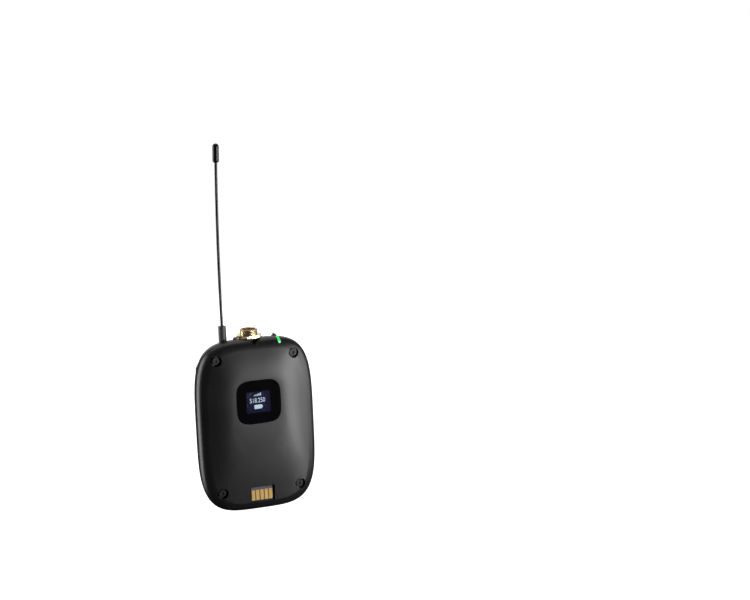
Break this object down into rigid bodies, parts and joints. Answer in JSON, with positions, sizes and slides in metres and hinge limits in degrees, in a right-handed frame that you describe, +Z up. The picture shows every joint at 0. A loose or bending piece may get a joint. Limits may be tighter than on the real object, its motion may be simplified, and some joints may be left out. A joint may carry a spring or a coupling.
{
  "type": "wireless bodypack transmitter",
  "caption": "Belt-worn wireless audio transmitter: rounded flat case, whip antenna, threaded mini audio jack, display window, charging contacts, hinged battery door and wire belt clip.",
  "frame": {"origin": "middle of the battery door's flat rear face, where the belt lies", "axes": "+Z up towards the antenna, -Y out of the front face, +X to the right seen from the front"},
  "size_m": [0.068, 0.0325, 0.2078],
  "materials": {
    "case_plastic": "satin moulded black polycarbonate",
    "door_plastic": "satin moulded black polycarbonate",
    "key_plastic": "satin black plastic",
    "gasket": "matt black rubber",
    "screw_steel": "black oxide",
    "brass": "plain brass",
    "window": "gloss black acrylic",
    "display_frame": "matt black",
    "display_glass": "dark display glass",
    "board": "green solder mask",
    "shield": "tin-plated steel",
    "chip": "matt epoxy",
    "gold": "gold plate",
    "carrier": "grey plastic",
    "led_lens": "lit green lens",
    "antenna_sleeve": "satin black rubber",
    "antenna_wire": "black coated wire",
    "jack_gold": "pale gold plate",
    "insulator": "black insulator",
    "cell": "printed cell sleeve",
    "contact_metal": "nickel plate",
    "clip_steel": "spring steel wire"
  },
  "bodies": {
    "transmitter": {"front_shell": "case_plastic", "rear_chassis": "case_plastic", "case_gasket": "gasket", "case_screws": "screw_steel", "screw_inserts": "brass", "display_window": "window", "ir_window": "window", "display_frame": "display_frame", "display_panel": "display_glass", "main_board": "board", "rf_shield": "shield", "board_chips": "chip", "power_switch_body": "chip", "button_switches": "chip", "charging_contacts": "gold", "jack_pins": "gold", "contact_carrier": "carrier", "power_led_lens": "led_lens", "power_led": "led_lens", "antenna_stub": "antenna_sleeve", "antenna_whip": "antenna_wire", "antenna_cap": "antenna_wire", "jack_barrel": "jack_gold", "jack_nut": "jack_gold", "jack_washer": "jack_gold", "antenna_base": "jack_gold", "jack_insulator": "insulator", "battery_left": "cell", "battery_right": "cell", "battery_springs": "contact_metal", "battery_plates": "contact_metal", "latch_spring_left": "contact_metal", "latch_spring_right": "contact_metal", "door_hinge_pin": "clip_steel"},
    "door": {"battery_door": "door_plastic", "door_pad": "gasket", "door_catches": "contact_metal"},
    "clip": {"belt_clip": "clip_steel"},
    "power_switch": {"power_switch_knob": "key_plastic"},
    "menu_key": {"menu_button": "key_plastic"},
    "enter_key": {"enter_button": "key_plastic"},
    "latch_left": {"latch_button_left": "key_plastic"},
    "latch_right": {"latch_button_right": "key_plastic"}
  },
  "joints": [
    {"name": "door_hinge", "type": "hinge", "parent": "transmitter", "child": "door", "pos_m": [0, -0.0084, -0.046], "axis": [-1, 0, 0], "range_deg": [0, 95]},
    {"name": "clip_pivot", "type": "hinge", "parent": "door", "child": "clip", "pos_m": [0, -0.006, 0.0345], "axis": [1, 0, 0], "range_deg": [0, 35], "stiffness_Nm_per_rad": 0.45, "springref_deg": -8.59},
    {"name": "power_slide", "type": "slide", "parent": "transmitter", "child": "power_switch", "axis": [-1, 0, 0], "range_m": [0, 0.003]},
    {"name": "menu_press", "type": "slide", "parent": "transmitter", "child": "menu_key", "axis": [0, -1, 0], "range_m": [0, 0.0005], "stiffness_N_per_m": 800, "springref_m": -0.0005},
    {"name": "enter_press", "type": "slide", "parent": "transmitter", "child": "enter_key", "axis": [0, -1, 0], "range_m": [0, 0.0005], "stiffness_N_per_m": 800, "springref_m": -0.0005},
    {"name": "latch_left_press", "type": "slide", "parent": "transmitter", "child": "latch_left", "axis": [1, 0, 0], "range_m": [0, 0.0012], "stiffness_N_per_m": 700, "springref_m": -0.001, "deforming": ["latch_spring_left"]},
    {"name": "latch_right_press", "type": "slide", "parent": "transmitter", "child": "latch_right", "axis": [-1, 0, 0], "range_m": [0, 0.0012], "stiffness_N_per_m": 700, "springref_m": -0.001, "deforming": ["latch_spring_right"]}
  ]
}
